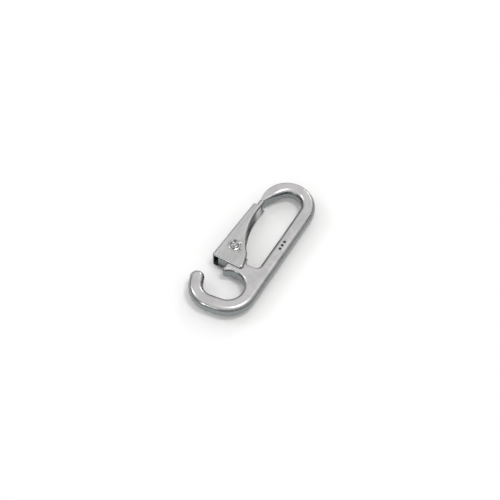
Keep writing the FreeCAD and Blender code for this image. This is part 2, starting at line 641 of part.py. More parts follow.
def make_spring(doc, size):
    """One wire: a leg along the gate's web, a coil about the rivet, a leg hooked in the hook."""
    pivot = V(-size("pivot_left"), size("pivot_height"), 0)
    wire, coil, leg = size("wire") / 2, size("coil_radius"), size("leg_length")
    level = V(0, 0, size("coil_rise") / 2)
    reach = size("web_inner") - size("leg_play") - wire
    swing = math.asin(reach / math.hypot(coil, leg)) - math.atan2(coil, leg)
    start = 180 - size("gate_lean") + math.degrees(swing)
    end = 270 + size("anchor_lean")
    turns = size("coil_turns") + (end - start) / 360
    leg_root = polar(pivot, coil, start) - level
    leg_tip = leg_root + polar((0, 0), leg, start - 90)
    helix = Part.makeHelix(size("coil_rise") / turns, size("coil_rise"), coil)
    helix.rotate(V(0, 0, 0), V(0, 0, 1), start)
    helix.translate(pivot - level)
    bend = size("anchor_bend")
    ahead = polar((0, 0), 1, size("anchor_lean"))
    aside = polar((0, 0), bend, size("anchor_lean") - 90)
    root = polar(pivot, coil, end) + level
    stretch = (size("anchor_right") - bend - aside.x - root.x) / ahead.x
    knee = root + ahead * stretch
    centre = knee + aside
    drop = centre + V(bend, 0, 0)
    middle = centre + polar((0, 0), bend, (90 + size("anchor_lean")) / 2)
    foot = V(drop.x, size("web_top") - size("anchor_depth") + wire, drop.z)
    path = Part.Wire([
        Part.LineSegment(leg_tip, leg_root).toShape(),
        *helix.Edges,
        Part.LineSegment(root, knee).toShape(),
        Part.Arc(knee, middle, drop).toShape(),
        Part.LineSegment(drop, foot).toShape(),
    ])
    ring = Part.Circle(leg_tip, leg_root - leg_tip, wire)
    shape = path.makePipeShell([Part.Wire([ring.toShape()])], True, True)
    spring = doc.addObject("Part::Feature", "torsion_spring")
    spring.Label = "torsion_spring"
    spring.Shape = shape
    spring.Placement = FreeCAD.Placement()
    print(f"spring: {turns:.2f} turns, {path.Length:.1f} mm of wire, "
          f"volume {shape.Volume:.2f} of {math.pi * wire ** 2 * path.Length:.2f} mm3")
    return spring


def failures(doc, nodes):
    """The objects that failed, if any."""
    failed = [o.Name for o in doc.Objects if {"Invalid", "Error"} & set(o.State)]
    failed += [n.Label for n in nodes if n.Shape.isNull() or not n.Shape.isValid()]
    return failed + [n.Label for n in nodes if len(n.Shape.Solids) != 1]


def build():
    """Build the document; the kernel now and then loses a union, so a failed one is built again."""
    for attempt in range(1, ATTEMPTS + 1):
        doc = FreeCAD.newDocument("eye_hook")
        make_sheet(doc)

        def size(name):
            return value_of(doc, name)

        nodes = [make(doc, size) for make in (make_hook_body, make_gate, make_rivet, make_spring)]
        doc.recompute()
        failed = failures(doc, nodes)
        if not failed:
            return nodes
        print(f"attempt {attempt} failed: {failed}")
        FreeCAD.closeDocument(doc.Name)
    raise RuntimeError(f"failed: {failed}")


def main():
    """Build the document and write one STEP file for each piece."""
    os.makedirs(OUT, exist_ok=True)
    for node in build():
        box = node.Shape.BoundBox
        print(f"{node.Label}: {len(node.Shape.Solids)} solid, {node.Shape.Volume:.1f} mm3, "
              f"{box.XLength:.1f} x {box.YLength:.1f} x {box.ZLength:.1f} mm")
        node.Shape.exportStep(f"{OUT}/{node.Label}.step")


main()
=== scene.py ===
"""Looks of the open-eye hook with a spring latch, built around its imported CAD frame.

Metres. The origin is the centre of the open eye, +Y runs towards the bow and +Z out of the front.
"""
import logging
import math
from dataclasses import dataclass, field
from enum import Enum

import bmesh
import bpy
from mathutils import Matrix, Vector
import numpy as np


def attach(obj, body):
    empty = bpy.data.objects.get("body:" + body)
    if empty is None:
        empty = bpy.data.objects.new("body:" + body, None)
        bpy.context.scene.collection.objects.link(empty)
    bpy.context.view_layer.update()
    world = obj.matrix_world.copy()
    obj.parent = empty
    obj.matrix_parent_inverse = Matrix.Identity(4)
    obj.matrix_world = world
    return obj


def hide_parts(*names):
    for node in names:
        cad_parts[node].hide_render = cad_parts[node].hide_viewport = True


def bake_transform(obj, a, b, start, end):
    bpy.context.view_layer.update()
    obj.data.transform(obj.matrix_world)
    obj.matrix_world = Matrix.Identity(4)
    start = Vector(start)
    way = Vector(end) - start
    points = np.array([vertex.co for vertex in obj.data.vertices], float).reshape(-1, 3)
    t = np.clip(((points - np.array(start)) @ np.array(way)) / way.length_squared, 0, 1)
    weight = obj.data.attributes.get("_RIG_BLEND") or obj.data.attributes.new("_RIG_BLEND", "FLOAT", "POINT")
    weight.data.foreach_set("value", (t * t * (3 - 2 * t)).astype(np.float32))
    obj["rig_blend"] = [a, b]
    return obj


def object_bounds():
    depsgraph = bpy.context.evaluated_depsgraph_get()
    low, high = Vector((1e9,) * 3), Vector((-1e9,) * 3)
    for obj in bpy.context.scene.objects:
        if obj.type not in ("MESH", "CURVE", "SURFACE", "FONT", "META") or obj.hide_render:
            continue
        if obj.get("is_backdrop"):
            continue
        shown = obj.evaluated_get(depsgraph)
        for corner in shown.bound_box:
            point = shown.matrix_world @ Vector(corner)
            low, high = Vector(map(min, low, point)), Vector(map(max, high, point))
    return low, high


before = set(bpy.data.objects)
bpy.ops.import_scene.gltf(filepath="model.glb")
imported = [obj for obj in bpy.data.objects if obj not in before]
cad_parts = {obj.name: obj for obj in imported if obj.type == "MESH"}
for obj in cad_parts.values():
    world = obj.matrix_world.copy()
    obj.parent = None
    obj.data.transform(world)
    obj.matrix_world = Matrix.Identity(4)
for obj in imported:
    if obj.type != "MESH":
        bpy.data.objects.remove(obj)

logging.basicConfig(level=logging.INFO, format="%(message)s")
log = logging.getLogger("eye_hook")

MM = 0.001
MERGE_DISTANCE = 0.002 * MM
# Near-black tone of painted shade in recesses.
RECESS_SHADE_TONE = (0.05, 0.052, 0.055)
# Ranges of the normal's z part over which the painted shade masks fade, for the flats and then the upright
# walls.
PAINTED_SHADE_FLAT_RANGE = (0.2, 0.85)
PAINTED_SHADE_WALL_RANGE = (0.05, 0.3)
FLECK_LEAST = 0.93

Colour = tuple[float, float, float]
Point = tuple[float, float, float]


class Body(Enum):
    """The two bodies of the frame that a piece can ride on."""

    HOOK = "hook"
    GATE = "gate"


class GrainDirection(Enum):
    """The way in which a finish's grain is drawn out: a stretch for each axis."""

    TUMBLED = (1.0, 1.0, 1.0)
    ALONG_GATE = (1.0, 0.12, 1.0)


# ---------------------------------------------------------------- shader groups


class ShaderGroup:
    """A shader node group under construction, with named sockets and short calls for its nodes."""

    def __init__(self, name: str, inputs: dict[str, str], outputs: dict[str, str]) -> None:
        """Start the group.

        Args:
            name: The group's name.
            inputs: The input sockets, name to socket type.
            outputs: The output sockets, name to socket type.
        """
        self.tree = bpy.data.node_groups.new(name, "ShaderNodeTree")
        for label, kind in inputs.items():
            self.tree.interface.new_socket(name=label, in_out="INPUT", socket_type=kind)
        for label, kind in outputs.items():
            self.tree.interface.new_socket(name=label, in_out="OUTPUT", socket_type=kind)
        self.source = self.tree.nodes.new("NodeGroupInput")
        self.sink = self.tree.nodes.new("NodeGroupOutput")

    def node(self, kind: str, **settings: object) -> bpy.types.Node:
        """Add a node and set its properties.

        Args:
            kind: The node's type name.
            settings: Properties of the node.

        Returns:
            The new node.
        """
        return add_node(self.tree, kind, **settings)

    def link(self, start: bpy.types.NodeSocket, end: bpy.types.NodeSocket) -> None:
        """Join two sockets."""
        self.tree.links.new(start, end)


def add_node(tree: bpy.types.NodeTree, kind: str, **settings: object) -> bpy.types.Node:
    """Add a node to a tree and set its properties.

    Args:
        tree: The node tree.
        kind: The node's type name.
        settings: Properties of the node.

    Returns:
        The new node.
    """
    made = tree.nodes.new(kind)
    for name, value in settings.items():
        setattr(made, name, value)
    return made


def stretch_range(
    tree: bpy.types.NodeTree,
    value: bpy.types.NodeSocket,
    low: float,
    high: float,
    out_low: float = 0.0,
    out_high: float = 1.0,
) -> bpy.types.NodeSocket:
    """Map a value softly from one range to another.

    Args:
        tree: The node tree.
        value: The socket that gives the value.
        low: The value that gives out_low.
        high: The value that gives out_high.
        out_low: The lowest result.
        out_high: The highest result.

    Returns:
        The socket of the result.
    """
    ramp = add_node(tree, "ShaderNodeMapRange", interpolation_type="SMOOTHSTEP")
    ramp.inputs["From Min"].default_value = low
    ramp.inputs["From Max"].default_value = high
    ramp.inputs["To Min"].default_value = out_low
    ramp.inputs["To Max"].default_value = out_high
    tree.links.new(value, ramp.inputs["Value"])
    return ramp.outputs["Result"]


def build_grain() -> bpy.types.NodeTree:
    """Fine grain of a tumbled or brushed surface, with broad uneven patches.

    Returns:
        The node group, with outputs Grain, Patches and Height.
    """
    group = ShaderGroup(
        "metal_grain",
        {"Vector": "NodeSocketVector", "Fine Scale": "NodeSocketFloat", "Patch Scale": "NodeSocketFloat"},
        {"Grain": "NodeSocketFloat", "Patches": "NodeSocketFloat", "Height": "NodeSocketFloat"},
    )
    fine = group.node("ShaderNodeTexNoise")
    fine.inputs["Detail"].default_value = 6.0
    fine.inputs["Roughness"].default_value = 0.62
    patches = group.node("ShaderNodeTexNoise")
    patches.inputs["Detail"].default_value = 3.0
    patches.inputs["Distortion"].default_value = 0.6
    pits = group.node("ShaderNodeTexVoronoi", feature="F1")
    group.link(group.source.outputs["Vector"], fine.inputs["Vector"])
    group.link(group.source.outputs["Vector"], patches.inputs["Vector"])
    group.link(group.source.outputs["Vector"], pits.inputs["Vector"])
    group.link(group.source.outputs["Fine Scale"], fine.inputs["Scale"])
    group.link(group.source.outputs["Patch Scale"], patches.inputs["Scale"])
    group.link(group.source.outputs["Fine Scale"], pits.inputs["Scale"])
    grain = stretch_range(group.tree, fine.outputs["Fac"], 0.3, 0.7)
    broad = stretch_range(group.tree, patches.outputs["Fac"], 0.35, 0.65)
    pit = stretch_range(group.tree, pits.outputs["Distance"], 0.0, 0.22, 0.0, 1.0)
    height = group.node("ShaderNodeMath", operation="MULTIPLY")
    group.link(grain, height.inputs[0])
    group.link(pit, height.inputs[1])
    group.link(grain, group.sink.inputs["Grain"])
    group.link(broad, group.sink.inputs["Patches"])
    group.link(height.outputs["Value"], group.sink.inputs["Height"])
    return group.tree


def build_scratches() -> bpy.types.NodeTree:
    """Two crossing sets of short handling scratches.

    Returns:
        The node group, with the output Scratches.
    """
    group = ShaderGroup(
        "handling_scratches",
        {"Vector": "NodeSocketVector", "Scale": "NodeSocketFloat"},
        {"Scratches": "NodeSocketFloat"},
    )
    masks = []
    for turn, slide in ((24.0, 0.0), (-57.0, 3.7)):
        place = group.node("ShaderNodeMapping", vector_type="POINT")
        place.inputs["Location"].default_value = (slide, slide, 0.0)
        place.inputs["Rotation"].default_value = (0.0, 0.0, math.radians(turn))
        place.inputs["Scale"].default_value = (1.0, 0.045, 1.0)
        lines = group.node("ShaderNodeTexNoise")
        lines.inputs["Detail"].default_value = 2.0
        group.link(group.source.outputs["Vector"], place.inputs["Vector"])
        group.link(place.outputs["Vector"], lines.inputs["Vector"])
        group.link(group.source.outputs["Scale"], lines.inputs["Scale"])
        masks.append(stretch_range(group.tree, lines.outputs["Fac"], 0.66, 0.72))
    both = group.node("ShaderNodeMath", operation="MAXIMUM")
    group.link(masks[0], both.inputs[0])
    group.link(masks[1], both.inputs[1])
    group.link(both.outputs["Value"], group.sink.inputs["Scratches"])
    return group.tree


def build_painted_shade_masks() -> bpy.types.NodeTree:
    """How much a surface belongs to the flats or to the walls, from its own normal, as masks that place
    painted shade.

    Returns:
        The node group. Face is 1 on the flat front and back, Wall is 1 on the upright sides.
    """
    group = ShaderGroup(
        "painted_shade_by_normal",
        {"Normal": "NodeSocketVector"},
        {"Face": "NodeSocketFloat", "Wall": "NodeSocketFloat"},
    )
    parts = group.node("ShaderNodeSeparateXYZ")
    size = group.node("ShaderNodeMath", operation="ABSOLUTE")
    group.link(group.source.outputs["Normal"], parts.inputs["Vector"])
    group.link(parts.outputs["Z"], size.inputs[0])
    # Masks for painted shade: the flats keep their own tone, and the roundings and walls take the painted
    # shade tones.
    face = stretch_range(group.tree, size.outputs["Value"], *PAINTED_SHADE_FLAT_RANGE)
    group.link(face, group.sink.inputs["Face"])
    painted_wall_mask = stretch_range(group.tree, size.outputs["Value"], *PAINTED_SHADE_WALL_RANGE, 1.0, 0.0)
    group.link(painted_wall_mask, group.sink.inputs["Wall"])
    return group.tree


@dataclass
class ShaderKit:
    """The shader groups that every steel of the hook shares."""

    grain: bpy.types.NodeTree = field(default_factory=build_grain)
    scratches: bpy.types.NodeTree = field(default_factory=build_scratches)
    faces: bpy.types.NodeTree = field(default_factory=build_painted_shade_masks)


@dataclass(frozen=True)
class SteelFinish:
    """One steel's finish: tones, painted shade for roundings and walls, gloss, grain and wear."""

    name: str
    face_tone: Colour
    # Painted shade: the next two tones go on roundings and on upright walls by the surface's normal. They
    # stand in for reflected shade and for a lighter reflected band on the walls.
    painted_rounding_shade: Colour
    painted_wall_shade: Colour
    worn_tone: Colour
    direction: GrainDirection
    fine_scale: float
    patch_scale: float
    scratch_scale: float
    roughness: float
    roughness_spread: float
    patch_shade: float
    scratch_shade: float
    bump_height: float

    def material(self, kit: ShaderKit) -> bpy.types.Material:
        """Build the finish's material.

        Args:
            kit: The shared shader groups.

        Returns:
            The material.
        """
        made = bpy.data.materials.new(self.name)
        made.use_nodes = True
        tree = made.node_tree
        tree.nodes.clear()
        out = add_node(tree, "ShaderNodeOutputMaterial")
        metal = add_node(tree, "ShaderNodeBsdfPrincipled")
        metal.inputs["Metallic"].default_value = 1.0
        tree.links.new(metal.outputs["BSDF"], out.inputs["Surface"])
        place = add_node(tree, "ShaderNodeTexCoord")
        stretch = add_node(tree, "ShaderNodeMapping", vector_type="POINT")
        stretch.inputs["Scale"].default_value = self.direction.value
        tree.links.new(place.outputs["Object"], stretch.inputs["Vector"])

        grain = self._group(tree, kit.grain)
        grain.inputs["Fine Scale"].default_value = self.fine_scale
        grain.inputs["Patch Scale"].default_value = self.patch_scale
        tree.links.new(stretch.outputs["Vector"], grain.inputs["Vector"])
        scratches = self._group(tree, kit.scratches)
        scratches.inputs["Scale"].default_value = self.scratch_scale
        tree.links.new(place.outputs["Object"], scratches.inputs["Vector"])
        faces = self._group(tree, kit.faces)
        tree.links.new(place.outputs["Normal"], faces.inputs["Normal"])
        worn = add_node(tree, "ShaderNodeAttribute", attribute_name="worn")
        recess_shade = add_node(tree, "ShaderNodeAttribute", attribute_name="recess_shade")

        # Painted shade: by the surface's normal, roundings take a dark tone and upright walls a lighter
        # band, both darker than the flats. They stand in for reflected shade and light.
        side = self._mix(tree, faces.outputs["Wall"], self.painted_rounding_shade, self.painted_wall_shade)
        tone = self._mix(tree, faces.outputs["Face"], side, self.face_tone)
        shade = stretch_range(tree, grain.outputs["Patches"], 0.0, 1.0, 1.0 - self.patch_shade, 1.0)
        tone = self._darken(tree, tone, shade)
        fleck = stretch_range(tree, grain.outputs["Grain"], 0.0, 1.0, FLECK_LEAST, 1.0)
        tone = self._darken(tree, tone, fleck)
        mark = stretch_range(tree, scratches.outputs["Scratches"], 0.0, 1.0, 1.0, 1.0 - self.scratch_shade)
        tone = self._darken(tree, tone, mark)
        tone = self._mix(tree, worn.outputs["Fac"], tone, self.worn_tone)
        # Painted shade in recesses: punched dot floors, stake dents and coined grooves are mixed towards a
        # near-black tone.
        tone = self._mix(tree, recess_shade.outputs["Fac"], tone, RECESS_SHADE_TONE)
        tree.links.new(tone, metal.inputs["Base Color"])

        low, high = self.roughness - self.roughness_spread, self.roughness + self.roughness_spread
        gloss = stretch_range(tree, grain.outputs["Patches"], 0.0, 1.0, low, high)
        scuffed = add_node(tree, "ShaderNodeMath", operation="MULTIPLY_ADD")
        scuffed.inputs[1].default_value = self.roughness_spread
        tree.links.new(scratches.outputs["Scratches"], scuffed.inputs[0])
        tree.links.new(gloss, scuffed.inputs[2])
        tree.links.new(scuffed.outputs["Value"], metal.inputs["Roughness"])

        bump = add_node(tree, "ShaderNodeBump")
        bump.inputs["Strength"].default_value = 1.0
        bump.inputs["Distance"].default_value = self.bump_height
        dent = add_node(tree, "ShaderNodeMath", operation="SUBTRACT")
        tree.links.new(grain.outputs["Height"], dent.inputs[0])
        tree.links.new(scratches.outputs["Scratches"], dent.inputs[1])
        tree.links.new(dent.outputs["Value"], bump.inputs["Height"])
        tree.links.new(bump.outputs["Normal"], metal.inputs["Normal"])
        return made

    def _group(self, tree: bpy.types.NodeTree, group: bpy.types.NodeTree) -> bpy.types.Node:
        """Place a shared group in a material's tree."""
        return add_node(tree, "ShaderNodeGroup", node_tree=group)

    def _mix(
        self,
        tree: bpy.types.NodeTree,
        share: bpy.types.NodeSocket,
        first: Colour | bpy.types.NodeSocket,
        second: Colour | bpy.types.NodeSocket,
    ) -> bpy.types.NodeSocket:
        """Mix two colours by a mask.

        Args:
            tree: The material's tree.
            share: The mask: 0 gives the first colour, 1 the second.
            first: A colour or the socket of one.
            second: A colour or the socket of one.

        Returns:
            The socket of the mixed colour.
        """
        mix = add_node(tree, "ShaderNodeMix", data_type="RGBA", blend_type="MIX")
        tree.links.new(share, mix.inputs["Factor"])
        for socket, colour in (("A", first), ("B", second)):
            entry = next(s for s in mix.inputs if s.name == socket and s.type == "RGBA")
            if isinstance(colour, tuple):
                entry.default_value = (*colour, 1.0)
            else:
                tree.links.new(colour, entry)
        return next(s for s in mix.outputs if s.type == "RGBA")

    def _darken(
        self, tree: bpy.types.NodeTree, tone: bpy.types.NodeSocket, shade: bpy.types.NodeSocket
    ) -> bpy.types.NodeSocket:
        """Multiply a colour by a value.

        Args:
            tree: The material's tree.
            tone: The socket of the colour.
            shade: The socket of the value.

        Returns:
            The socket of the darker colour.
        """
        scale = add_node(tree, "ShaderNodeVectorMath", operation="SCALE")
        tree.links.new(tone, scale.inputs[0])
        tree.links.new(shade, scale.inputs["Scale"])
        return scale.outputs["Vector"]


# ---------------------------------------------------------------- mesh helpers


def new_piece(name: str, shape: bmesh.types.BMesh) -> bpy.types.Object:
    """Make an object at the origin from a bmesh.

    Args:
        name: The object's name.
        shape: The bmesh, which is freed.

    Returns:
        The object.
    """
    mesh = bpy.data.meshes.new(name)
    shape.to_mesh(mesh)
    shape.free()
    piece = bpy.data.objects.new(name, mesh)
    bpy.context.scene.collection.objects.link(piece)
    return piece


def smooth(piece: bpy.types.Object, sharp_angle: float = 32.0) -> None:
    """Shade a piece smooth, with sharp edges above an angle, and keep its flats flat.

    Args:
        piece: The object.
        sharp_angle: The angle in degrees above which an edge stays sharp.
    """
    piece.data.polygons.foreach_set("use_smooth", [True] * len(piece.data.polygons))
    piece.data.set_sharp_from_angle(angle=math.radians(sharp_angle))
    even = piece.modifiers.new("even_normals", "WEIGHTED_NORMAL")
    even.mode = "FACE_AREA_WITH_ANGLE"
    even.weight = 100
    even.keep_sharp = True


def merged_copy(node: str) -> bmesh.types.BMesh:
    """Copy a CAD node's mesh, with its loose triangles joined.

    Args:
        node: The CAD node's name.

    Returns:
        The joined mesh.
    """
    shape = bmesh.new()
    shape.from_mesh(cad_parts[node].data)
    bmesh.ops.remove_doubles(shape, verts=shape.verts, dist=MERGE_DISTANCE)
    bmesh.ops.dissolve_degenerate(shape, edges=shape.edges, dist=MERGE_DISTANCE)
    return shape


def carve(piece: bpy.types.Object, cutter: bpy.types.Object) -> None:
    """Cut one object's shape out of another, and remove the cutter.

    Args:
        piece: The object that is cut.
        cutter: The object that cuts, a closed mesh.
    """
    cut = piece.modifiers.new("cut", "BOOLEAN")
    cut.operation = "DIFFERENCE"
    cut.solver = "EXACT"
    cut.object = cutter
    evaluated = piece.evaluated_get(bpy.context.evaluated_depsgraph_get())
    result = bpy.data.meshes.new_from_object(evaluated)
    piece.modifiers.remove(cut)
    old = piece.data
    piece.data = result
    bpy.data.meshes.remove(old)
    shape = cutter.data
    bpy.data.objects.remove(cutter)
    bpy.data.meshes.remove(shape)
    result.name = piece.name


def soften_edges(shape: bmesh.types.BMesh, width: float, sharp_angle: float) -> int:
    """Bevel the sharp edges of a mesh, and mark the new faces as worn.

    Args:
        shape: The mesh.
        width: The bevel's width, in metres.
        sharp_angle: The angle in degrees above which an edge is bevelled.

    Returns:
        The number of bevelled faces.
    """
    limit = math.radians(sharp_angle)
    bmesh.ops.dissolve_limit(
        shape, angle_limit=math.radians(0.4), verts=shape.verts, edges=shape.edges,
        use_dissolve_boundaries=False, delimit=set(),
    )
    mark_faces(shape)
    worn = shape.faces.layers.float["worn"]
    sharp = [e for e in shape.edges if len(e.link_faces) == 2 and e.calc_face_angle(0.0) > limit]
    made = bmesh.ops.bevel(
        shape, geom=sharp, offset=width, offset_type="OFFSET", affect="EDGES", segments=2,
        profile=0.5, material=-1, clamp_overlap=True, loop_slide=True,
    )
    for face in made["faces"]:
        face[worn] = 1.0
    bmesh.ops.triangulate(shape, faces=[f for f in shape.faces if len(f.verts) > 4])
    return len(made["faces"])


def mark_faces(shape: bmesh.types.BMesh, worn: float = 0.0, recess_shade: float = 0.0) -> None:
    """Write how worn every face of a mesh is, and how much painted recess shade it gets.

    Args:
        shape: The mesh.
        worn: 0 for the finish as made, 1 for bright wear.
        recess_shade: painted shade of a recess, 0 for none, 1 for the dark floor of a punched mark.
    """
    for name, value in (("worn", worn), ("recess_shade", recess_shade)):
        layer = shape.faces.layers.float.get(name) or shape.faces.layers.float.new(name)
        for face in shape.faces:
            face[layer] = value


def finish_piece(
    piece: bpy.types.Object, body: Body, node: str, material: bpy.types.Material
) -> None:
    """Dress a finished piece, put it on its body and report it.

    Args:
        piece: The object.
        body: The body it rides on.
        node: The CAD node it stands for.
        material: Its material.
    """
    piece.data.materials.clear()
    piece.data.materials.append(material)
    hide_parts(node)
    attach(piece, body.value)
    log.info("%s: %d faces, rides on %s", piece.name, len(piece.data.polygons), body.value)


# ---------------------------------------------------------------- the pieces


@dataclass
class HookBar:
    """The forged hook: eye, spine, bow, nose, web and post, with punch dots on the spine."""

    spine_middle: float = 9.75 * MM
    dots_foot: float = 25.6 * MM
    dot_pitch: float = 1.9 * MM
    dot_count: int = 3
    dot_radius: float = 0.66 * MM
    dot_depth: float = 0.42 * MM
    ball_segments: int = 28
    ball_rings: int = 18
    edge_width: float = 0.09 * MM
    edge_angle: float = 48.0
    face_height: float = 3.0 * MM
    finish: SteelFinish = SteelFinish(
        name="tumbled_hook_steel",
        face_tone=(0.62, 0.608, 0.605),
        # Painted shade: dark roundings and a lighter painted band on the walls.
        painted_rounding_shade=(0.10, 0.118, 0.12),
        painted_wall_shade=(0.30, 0.325, 0.33),
        worn_tone=(0.74, 0.73, 0.72),
        direction=GrainDirection.TUMBLED,
        fine_scale=2600.0,
        patch_scale=190.0,
        scratch_scale=900.0,
        roughness=0.27,
        roughness_spread=0.05,
        patch_shade=0.07,
        scratch_shade=0.05,
        bump_height=0.0011 * MM,
    )

    def build(self, kit: ShaderKit) -> bpy.types.Object:
        """Make the forging from its CAD node and punch its dots.

        Args:
            kit: The shared shader groups.

        Returns:
            The finished piece.
        """
        shape = merged_copy("hook_body")
        beveled = soften_edges(shape, self.edge_width, self.edge_angle)
        log.info("hook_bar: %d softened faces", beveled)
        piece = new_piece("hook_bar", shape)
        carve(piece, self._punch())
        smooth(piece)
        finish_piece(piece, Body.HOOK, "hook_body", self.finish.material(kit))
        return piece

    def _punch(self) -> bpy.types.Object:
        """Make the row of balls that presses the dots.

        Returns:
            The cutter.
        """
        shape = bmesh.new()
        level = self.face_height + self.dot_radius - self.dot_depth
        for number in range(self.dot_count):
            place = Vector((self.spine_middle, self.dots_foot + number * self.dot_pitch, level))
            bmesh.ops.create_uvsphere(
                shape, u_segments=self.ball_segments, v_segments=self.ball_rings, radius=self.dot_radius,
                matrix=Matrix.Translation(place),
            )
        # The dots' floors get full painted shade.
        mark_faces(shape, recess_shade=1.0)
        return new_piece("punch", shape)


@dataclass
class Gate:
    """The folded sheet gate, with worn edges and a coined ring about each rivet hole."""

    pivot: Point = (-6.8994 * MM, 17.15 * MM, 0.0)
    cheek_height: float = 4.05 * MM
    ring_radius: float = 2.62 * MM
    ring_wire: float = 0.24 * MM
    ring_depth: float = 0.08 * MM
    ring_steps: int = 72
    edge_width: float = 0.11 * MM
    edge_angle: float = 40.0
    finish: SteelFinish = SteelFinish(
        name="pressed_gate_steel",
        face_tone=(0.60, 0.595, 0.59),
        # Painted shade: dark roundings and walls.
        painted_rounding_shade=(0.13, 0.145, 0.15),
        painted_wall_shade=(0.17, 0.185, 0.19),
        worn_tone=(0.76, 0.76, 0.755),
        direction=GrainDirection.ALONG_GATE,
        fine_scale=3400.0,
        patch_scale=240.0,
        scratch_scale=760.0,
        roughness=0.3,
        roughness_spread=0.06,
        patch_shade=0.09,
        scratch_shade=0.10,
        bump_height=0.0013 * MM,
    )

    def build(self, kit: ShaderKit) -> bpy.types.Object:
        """Make the gate from its CAD node, and coin the rings.

        Args:
            kit: The shared shader groups.

        Returns:
            The finished piece.
        """
        shape = merged_copy("gate")
        beveled = soften_edges(shape, self.edge_width, self.edge_angle)
        log.info("gate_sheet: %d softened faces", beveled)
        piece = new_piece("gate_sheet", shape)
        carve(piece, self._coining())
        smooth(piece)
        finish_piece(piece, Body.GATE, "gate", self.finish.material(kit))
        return piece

    def _coining(self) -> bpy.types.Object:
        """Make the two rings that press the grooves, one over each cheek.

        Returns:
            The cutter.
        """
        shape = bmesh.new()
        centre = Vector(self.pivot)
        for side in (1.0, -1.0):
            level = side * (self.cheek_height + self.ring_wire - self.ring_depth)
            place = centre + Vector((self.ring_radius, 0.0, level))
            lie = Matrix.Translation(place) @ Matrix.Rotation(math.radians(90), 4, "X")
            wire = bmesh.ops.create_circle(
                shape, cap_ends=False, segments=16, radius=self.ring_wire, matrix=lie
            )
            edges = list({e for v in wire["verts"] for e in v.link_edges})
            bmesh.ops.spin(
                shape, geom=wire["verts"] + edges, cent=centre, axis=(0.0, 0.0, 1.0),
                angle=math.tau, steps=self.ring_steps, use_merge=True,
            )
        bmesh.ops.remove_doubles(shape, verts=shape.verts, dist=MERGE_DISTANCE)
        bmesh.ops.recalc_face_normals(shape, faces=shape.faces)
        # The grooves get light painted shade.
        mark_faces(shape, recess_shade=0.35)
        return new_piece("coining", shape)


@dataclass
class PivotRivet:
    """The rivet, with heads that are staked against the cheeks."""

    pivot: Point = (-6.8994 * MM, 17.15 * MM, 0.0)
    shank_radius: float = 1.5 * MM
    seat: float = 4.05 * MM
    steps: int = 64
    stake_count: int = 4
    stake_turn: float = 20.0
    stake_radius: float = 0.5 * MM
    stake_reach: float = 1.2 * MM
    stake_level: float = 0.98 * MM
    ball_segments: int = 20
    ball_rings: int = 14
    sharp_angle: float = 38.0
    crown: tuple[tuple[float, float], ...] = (
        (2.0, 0.0), (2.0, 0.14), (1.93, 0.3), (1.8, 0.46), (1.6, 0.6), (1.35, 0.69),
        (1.1, 0.69), (0.9, 0.62), (0.74, 0.56), (0.6, 0.6), (0.45, 0.72), (0.25, 0.79), (0.0, 0.8),
    )
    finish: SteelFinish = SteelFinish(
        name="staked_rivet_steel",
        face_tone=(0.46, 0.46, 0.46),
        # Painted shade: near-black roundings and walls darken the heads' rims.
        painted_rounding_shade=(0.06, 0.066, 0.068),
        painted_wall_shade=(0.06, 0.066, 0.068),
        worn_tone=(0.60, 0.60, 0.60),
        direction=GrainDirection.TUMBLED,
        fine_scale=4200.0,
        patch_scale=700.0,
        scratch_scale=1500.0,
        roughness=0.38,
        roughness_spread=0.05,
        patch_shade=0.12,
        scratch_shade=0.10,
        bump_height=0.0012 * MM,
    )

    def build(self, kit: ShaderKit) -> bpy.types.Object:
        """Turn the rivet and stake its heads.

        Args:
            kit: The shared shader groups.

        Returns:
            The finished piece.
        """
        shape = bmesh.new()
        half = [(radius * MM, self.seat + rise * MM) for radius, rise in reversed(self.crown)]
        half.append((self.shank_radius, self.seat))
        profile = half + [(radius, -level) for radius, level in reversed(half)]
        centre = Vector(self.pivot)
        points = [shape.verts.new(centre + Vector((radius, 0.0, level))) for radius, level in profile]
        lines = [shape.edges.new(pair) for pair in zip(points, points[1:])]
        bmesh.ops.spin(
            shape, geom=points + lines, cent=centre, axis=(0.0, 0.0, 1.0),
            angle=math.tau, steps=self.steps, use_merge=True,
        )
        bmesh.ops.remove_doubles(shape, verts=shape.verts, dist=MERGE_DISTANCE)
        bmesh.ops.recalc_face_normals(shape, faces=shape.faces)
        mark_faces(shape)
        piece = new_piece("staked_rivet", shape)
        carve(piece, self._stakes())
        smooth(piece, sharp_angle=self.sharp_angle)
        finish_piece(piece, Body.GATE, "pivot_rivet", self.finish.material(kit))
        return piece

    def _stakes(self) -> bpy.types.Object:
        """Make the balls that stake both heads.

        Returns:
            The cutter.
        """
        shape = bmesh.new()
        for side in (1.0, -1.0):
            for number in range(self.stake_count):
                turn = math.radians(self.stake_turn) + math.tau * number / self.stake_count
                place = Vector(self.pivot) + Vector((
                    self.stake_reach * math.cos(turn),
                    self.stake_reach * math.sin(turn),
                    side * (self.seat + self.stake_level),
                ))
                bmesh.ops.create_uvsphere(
                    shape, u_segments=self.ball_segments, v_segments=self.ball_rings,
                    radius=self.stake_radius,
                    matrix=Matrix.Translation(place),
                )
        # The dents get strong painted shade.
        mark_faces(shape, recess_shade=0.8)
        return new_piece("stakes", shape)


